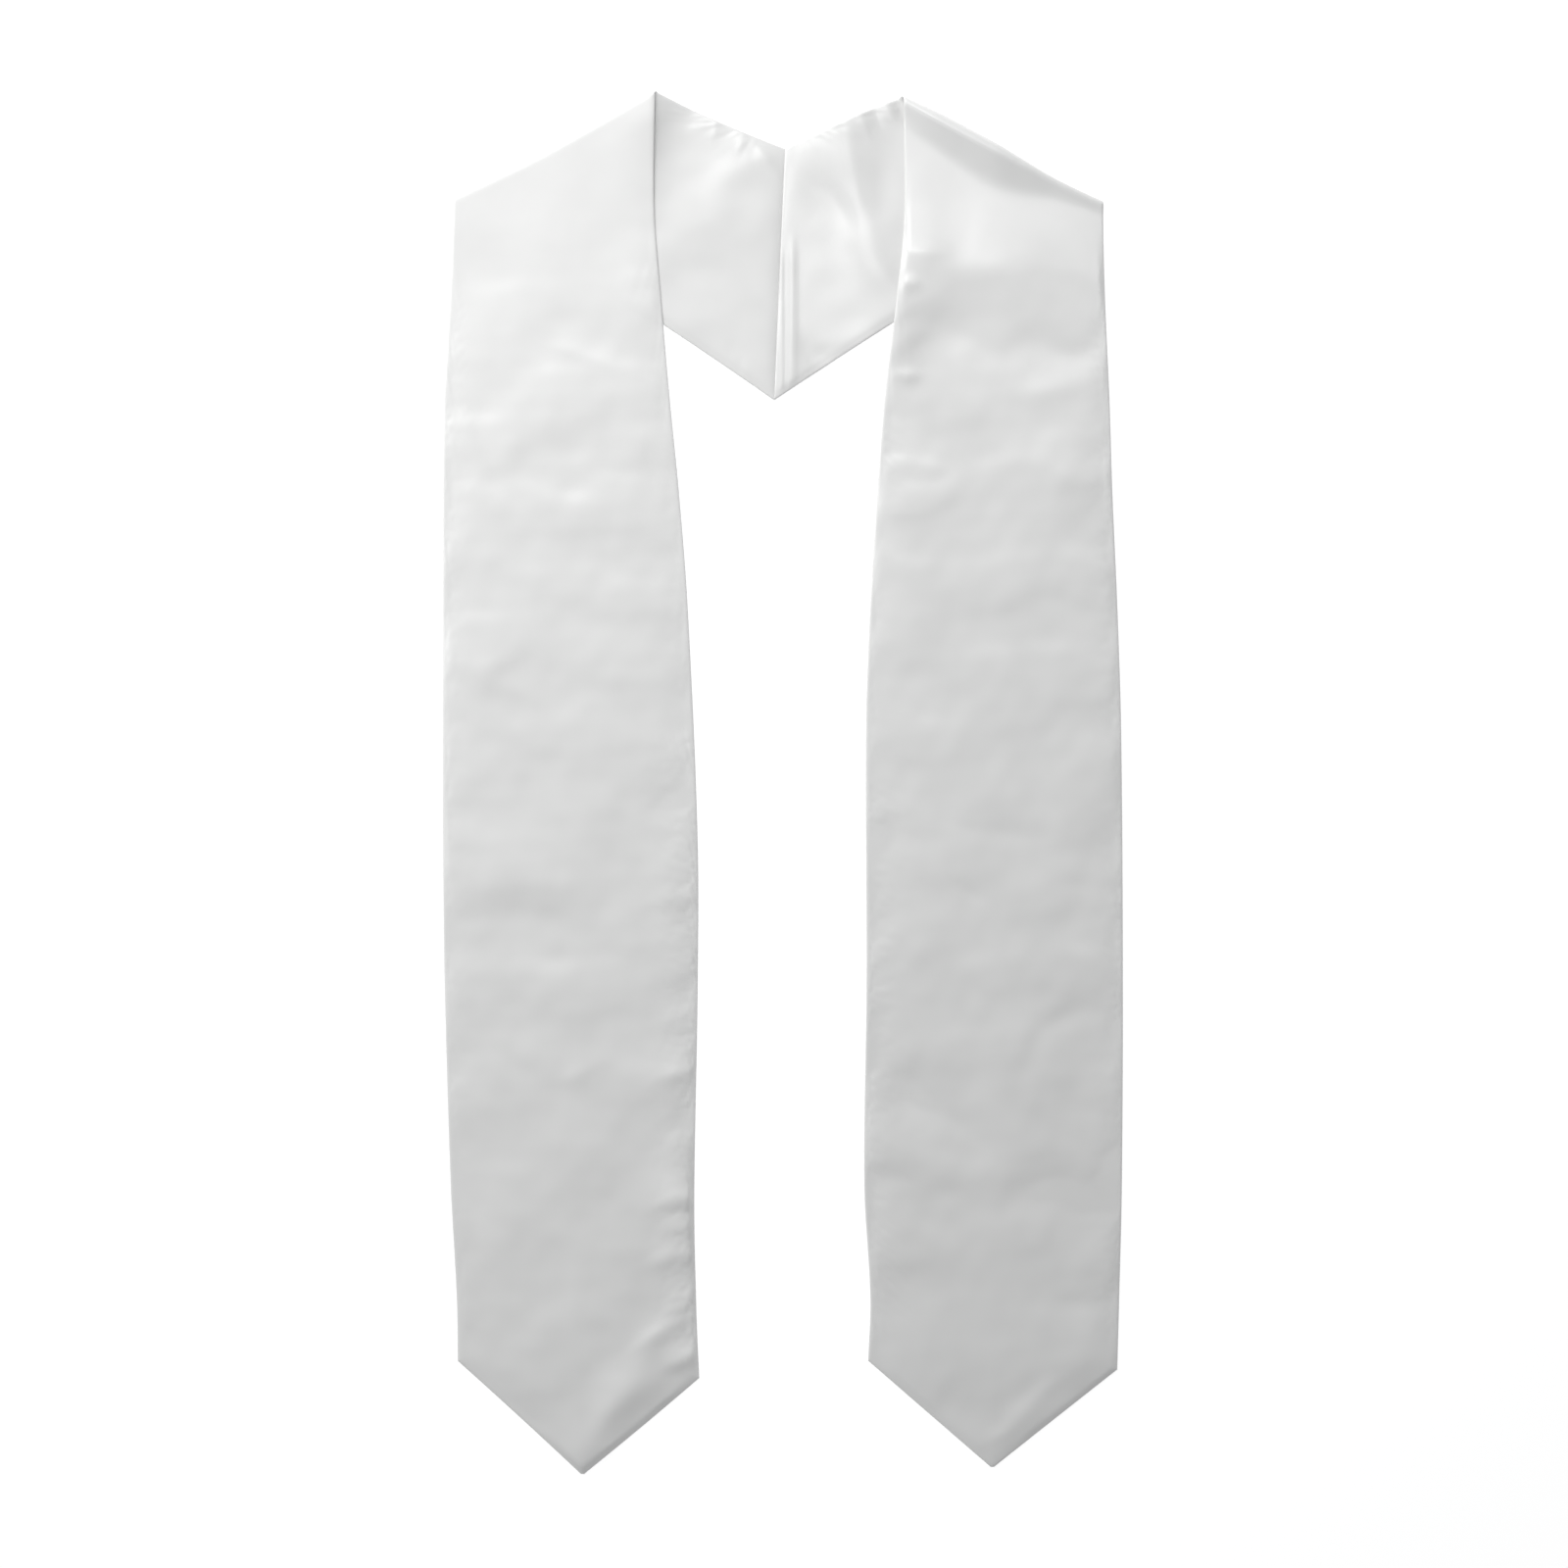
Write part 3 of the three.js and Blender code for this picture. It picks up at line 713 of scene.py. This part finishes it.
left = lay_out(LEFT, LEFT_NECK_FOLDS, seed=12)
left_edge = nearest_edge(left)
left_relief = lining_relief(left, LEFT.seam_rise, LEFT_NECK_PUCKERS, seed=8)
left_lining = satin_layer(
    "left_lining_satin", left, side=-1, off=LAYER_GAP / 2 + left_relief, edge=left_edge
)
lining_satin = satin("white satin lining", colour="eeeeed", shade="e9e9e8", roughness=0.36)
left_lining.data.materials.append(lining_satin)
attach(left_lining, "root")
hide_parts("left_lining")

# The left face. It is the show side, of the same satin, and on the panel it lies uppermost.
# It is loose inside its sewn edges, so it is puffed and dented there, and the seam down its
# inner edge has drawn it up in puckers, most of all just above the point.
LEFT_FACE_FOLDS = [
    Fold(118, 119, 14, 8, -20, 0.5),
    Fold(159, 188, 30, 12, -58, -0.9),
    Fold(75, 184, 16, 8, 0, -0.8),
    Fold(164, 303, 34, 15, -30, 1.4),
    Fold(156, 414, 52, 22, -25, 1.6),
    Fold(156, 445, 50, 16, -22, -1),
    Fold(167, 508, 26, 12, -50, -0.8),
    Fold(113, 534, 12, 7, 10, 0.5),
    Fold(176, 610, 20, 9, -60, -0.6),
    Fold(62, 380, 15, 9, 10, -0.8),
    Fold(60, 430, 14, 9, 20, 1),
    Fold(58, 472, 13, 8, 15, 0.9),
    Fold(58, 500, 12, 8, 15, 0.9),
    Fold(57, 533, 12, 6, 25, 1.5),
    Fold(55, 575, 10, 6, 12, 1),
    Fold(56, 602, 15, 24, 12, 1.3),
    Fold(55, 607, 14, 9, 22, 1.8),
    Fold(54, 626, 10, 8, 8, 1.6),
    Fold(56, 641, 12, 8, 20, 1.7),
    Fold(53, 664, 9, 6, 28, 1.2),
    Fold(62, 679, 18, 7, 30, 1.2),
    Fold(52, 695, 11, 6, 30, 2.3),
    Fold(89, 718, 42, 17, 55, 4.2),
]
LEFT_INNER_PUCKERS = [Pucker(60, 330, 0.12, 8, 12), Pucker(330, 700, 0.3, 11, 9)]
LEFT_OUTER_PUCKERS = [Pucker(60, 690, 0.12, 8, 12)]

# The panel's puff and waves, of which a share is left beside the shoulder fold, and how near an
# edge a fold is held. The broad waves are levelled off at their crests.
PANEL_PUFF = 1.6
PANEL_PUFF_REACH = 17
PUFF_UNEVENNESS = 0.3
PUFF_LIMIT = 1.5
PUFF_WAVES = (50, 140, 1)
PUFF_AT_FOLD = 0.35
BROAD_HEIGHT = 0.6
BROAD_WAVES = (34, 80, 1.2)
BROAD_LEVEL = 1.4
FAINT_HEIGHT = 0.07
FAINT_WAVES = (12, 30, 1.2)
WAVES_AT_FOLD = 0.25
FOLD_HOLD = 4


def face_relief(layout, folds, inner_puckers, outer_puckers, seed):
    """How far a face stands off its lining on the panel: a puff that grows from its edges, the
    folds, the puckers of both edges and broad faint waves."""
    edge = np.minimum(np.minimum(layout["inner"], layout["outer"]), layout["end"])
    out, down, loose = layout["out"], layout["down"], layout["loose"]
    uneven = np.clip(slow_waves(out, down, seed, *PUFF_WAVES), -PUFF_LIMIT, PUFF_LIMIT)
    reach = PANEL_PUFF_REACH * (1 + PUFF_UNEVENNESS * uneven)
    puff = PANEL_PUFF * (1 - np.exp(-edge / reach)) * between(PUFF_AT_FOLD, 1, loose)
    broad = np.tanh(slow_waves(out, down, seed + 1, *BROAD_WAVES) / BROAD_LEVEL)
    faint = slow_waves(out, down, seed + 2, *FAINT_WAVES)
    waves = BROAD_HEIGHT * broad + FAINT_HEIGHT * faint
    waves = waves * between(WAVES_AT_FOLD, 1, loose**2)
    drawn = pucker_height(layout["inner"], down, inner_puckers, seed + 5)
    drawn = drawn + pucker_height(layout["outer"], down, outer_puckers, seed + 15)
    drawn = drawn * held_by(layout["end"], EDGE_HOLD)
    drawn = drawn + held_by(edge, FOLD_HOLD) * fold_height(out, down, folds, seed + 9)
    soft = puff + held_by(edge, EDGE_HOLD) * waves
    return np.maximum(layout["clear"] * (soft + drawn), 0)


left_dents = face_relief(
    left, LEFT_FACE_FOLDS, LEFT_INNER_PUCKERS, LEFT_OUTER_PUCKERS, seed=21
)
left_face = satin_layer(
    "left_face_satin", left, side=1, off=LAYER_GAP / 2 + left_dents, edge=left_edge
)
face_satin = satin("white satin face", colour="f3f3f2", shade="efefee", roughness=0.36)
left_face.data.materials.append(face_satin)
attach(left_face, "root")
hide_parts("left_face")

# The right lining. It is the mirror image of the left one, seamed to it behind the neck. The
# seam's allowance is pressed under it, and shows as a welt with a second, softer ridge.
RIGHT_EDGES = [
    Edge(0, 0, 0),
    Edge(0.09, -0.02, 0),
    Edge(0.16, 0.13, 0.04),
    Edge(0.24, 0.35, 0.12),
    Edge(0.31, 0.47, 0.17),
    Edge(0.4, 0.6, 0.26),
    Edge(0.5, 0.68, 0.33),
    Edge(0.7, 0.67, 0.36),
    Edge(0.86, 0.71, 0.34),
    Edge(0.95, 0.6, 0.29),
    Edge(1, 0.64, 0.26),
]
RIGHT_ROLL = [
    Roll(0, 3, 10),
    Roll(0.2, 4.8, 13),
    Roll(0.45, 5, 15.5),
    Roll(0.6, 3.7, 12.5),
    Roll(0.75, 2.2, 7.5),
    Roll(0.9, 1.6, 5),
    Roll(1, 1.5, 4),
]
RIGHT = Half(1, 0.95, -0.9, 0.998, 1.005, 0.988, 0.498, RIGHT_EDGES, RIGHT_ROLL, 1, 0)
RIGHT_NECK_FOLDS = [
    Fold(41, -18, 34, 9, 86, 1.5),
    Fold(49, -14, 42, 16, 86, 1.5),
    Fold(30, -16, 50, 34, -22, 3),
    Fold(26, 30, 20, 10, 48, -1.1),
    Fold(64, 112, 72, 38, 95, 3.9),
    Fold(50, 50, 44, 15, 66, 2.2),
    Fold(20, 118, 16, 7, 70, -0.8),
    Fold(27, 119, 7, 4, 60, -0.6),
    Fold(62, -22, 9, 4, 66, 0.6),
    Fold(55, -19, 9, 3.5, 66, -0.6),
    Fold(50, -14, 8, 3.5, 68, 0.5),
    Fold(69, -20, 8, 3.5, 70, -0.5),
]
RIGHT_NECK_PUCKERS = [Pucker(8, 72, 0.12, 6, 10)]

# The welt and the ridge lie at a distance out from the centre line, each with its breadth. They
# rise within WELT_SPAN below the top of the seam, and the edges hold them down.
WELT_SPAN = (45, 70)
WELT_HOLD = 5
WELT_HEIGHT = 0.4
WELT_OUT = 1.2
WELT_BREADTH = 0.9
RIDGE_HEIGHT = 0.75
RIDGE_OUT = 7.4
RIDGE_BREADTH = 2

right = lay_out(RIGHT, RIGHT_NECK_FOLDS, seed=42)
right_edge = nearest_edge(right)
welt = WELT_HEIGHT * np.exp(-(((right["out"] - WELT_OUT) / WELT_BREADTH) ** 2))
ridge = RIDGE_HEIGHT * np.exp(-(((right["out"] - RIDGE_OUT) / RIDGE_BREADTH) ** 2))
sides = np.minimum(right["inner"], right["outer"])
pressed = held_by(sides, WELT_HOLD) * eased(right["down"], *WELT_SPAN)
right_relief = lining_relief(right, RIGHT.seam_rise, RIGHT_NECK_PUCKERS, seed=38)
right_relief = right_relief + pressed * (welt + ridge) * (right["puff"] > 0)
right_lining = satin_layer(
    "right_lining_satin", right, side=-1, off=LAYER_GAP / 2 + right_relief, edge=right_edge
)
right_lining.data.materials.append(lining_satin)
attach(right_lining, "root")
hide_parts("right_lining")

# The right face. Its shoulder fold stands up from the floor, with a hollow under it, and the
# panel below it is drawn into broad dents that the left one doesn't have.
RIGHT_FACE_FOLDS = [
    Fold(130, 67, 74, 28, 4, 3.7),
    Fold(144, 112, 50, 15, 5, -1.2),
    Fold(85, 59, 10, 6, 0, 0.9),
    Fold(75, 82, 9, 5, 4, 1.1),
    Fold(73, 107, 11, 6, 0, 0.9),
    Fold(70, 127, 8, 5, 6, 1.1),
    Fold(170, 137, 24, 14, -10, 0.8),
    Fold(172, 186, 22, 16, 10, 1.6),
    Fold(76, 190, 20, 9, -5, -0.8),
    Fold(73, 205, 55, 22, 94, 0.7),
    Fold(65, 395, 19, 12, 15, -1.3),
    Fold(126, 395, 22, 10, 10, -0.7),
    Fold(105, 424, 12, 7, 20, -0.5),
    Fold(183, 426, 15, 9, 0, -0.9),
    Fold(98, 470, 14, 10, 40, -0.6),
    Fold(166, 505, 28, 12, -38, -0.9),
    Fold(73, 541, 36, 10, 37, -1.8),
    Fold(113, 580, 14, 8, 20, -0.5),
    Fold(76, 576, 30, 20, 20, 1.3),
    Fold(57, 597, 13, 9, 10, -0.9),
    Fold(160, 602, 36, 16, 2, -1.6),
    Fold(178, 668, 12, 8, 10, -0.5),
    Fold(158, 707, 46, 18, -5, 1.5),
    Fold(140, 731, 26, 8, -39, 1.4),
]
RIGHT_INNER_PUCKERS = [Pucker(60, 360, 0.15, 8, 10), Pucker(360, 690, 0.26, 10, 9)]
RIGHT_OUTER_PUCKERS = [Pucker(60, 690, 0.14, 9, 11)]

right_dents = face_relief(
    right, RIGHT_FACE_FOLDS, RIGHT_INNER_PUCKERS, RIGHT_OUTER_PUCKERS, seed=51
)
right_face = satin_layer(
    "right_face_satin", right, side=1, off=LAYER_GAP / 2 + right_dents, edge=right_edge
)
right_face.data.materials.append(face_satin)
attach(right_face, "root")
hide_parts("right_face")

# The floor, the lights and the camera. The floor is plain and nearly white. A wide soft light
# stands low beyond the neck end, another hangs higher, and a third stands at the left. The
# camera looks straight down.
FLOOR_REACH = 4
FLOOR_HEIGHT = -0.0002
floor_mesh = bpy.data.meshes.new("floor")
square = [(-1, -1), (1, -1), (1, 1), (-1, 1)]
spread = [(FLOOR_REACH * x, FLOOR_REACH * y, FLOOR_HEIGHT) for x, y in square]
floor_mesh.from_pydata(spread, [], [(0, 1, 2, 3)])
floor = bpy.data.objects.new("floor", floor_mesh)
bpy.context.scene.collection.objects.link(floor)
paper = bpy.data.materials.new("white paper sweep")
paper.use_nodes = True
surface = paper.node_tree.nodes["Principled BSDF"]
surface.inputs["Base Color"].default_value = paint("9c9c9c")
surface.inputs["Roughness"].default_value = 0.9
surface.inputs["Specular IOR Level"].default_value = 0.1
surface.inputs["Emission Color"].default_value = (1, 1, 1, 1)
surface.inputs["Emission Strength"].default_value = 0.82
floor_mesh.materials.append(paper)


def soft_light(name, place, target, size, power):
    """A square soft light at a place, turned towards a target."""
    lamp = bpy.data.lights.new(name, "AREA")
    lamp.shape = "RECTANGLE"
    lamp.size, lamp.size_y = size
    lamp.energy = power
    light = bpy.data.objects.new(name, lamp)
    light.location = place
    light.rotation_euler = (Vector(target) - Vector(place)).to_track_quat("-Z", "Y").to_euler()
    light.visible_camera = False
    bpy.context.scene.collection.objects.link(light)


soft_light(
    "window light", place=(-0.55, 1.3, 0.75), target=(-0.05, 0.1, 0), size=(0.9, 0.5), power=9
)
soft_light(
    "overhead light", place=(-0.25, 0.9, 1.25), target=(0, 0.1, 0), size=(0.5, 0.45), power=5.7
)
soft_light(
    "side light", place=(-1.1, 0.4, 0.7), target=(0, 0, 0), size=(0.6, 0.6), power=4.3
)

world = bpy.data.worlds.new("pale room")
world.use_nodes = True
backdrop = world.node_tree.nodes["Background"]
backdrop.inputs["Color"].default_value = (0.92, 0.93, 0.94, 1)
backdrop.inputs["Strength"].default_value = 0.34
bpy.context.scene.world = world
bpy.context.scene.view_settings.view_transform = "Standard"

camera_data = bpy.data.cameras.new("camera")
camera_data.lens = 85
camera_data.sensor_width = 36
camera_data.clip_end = 20
camera = bpy.data.objects.new("camera", camera_data)
camera.location = (0.0007, 0.0003, 2.136)
bpy.context.scene.collection.objects.link(camera)
bpy.context.scene.camera = camera
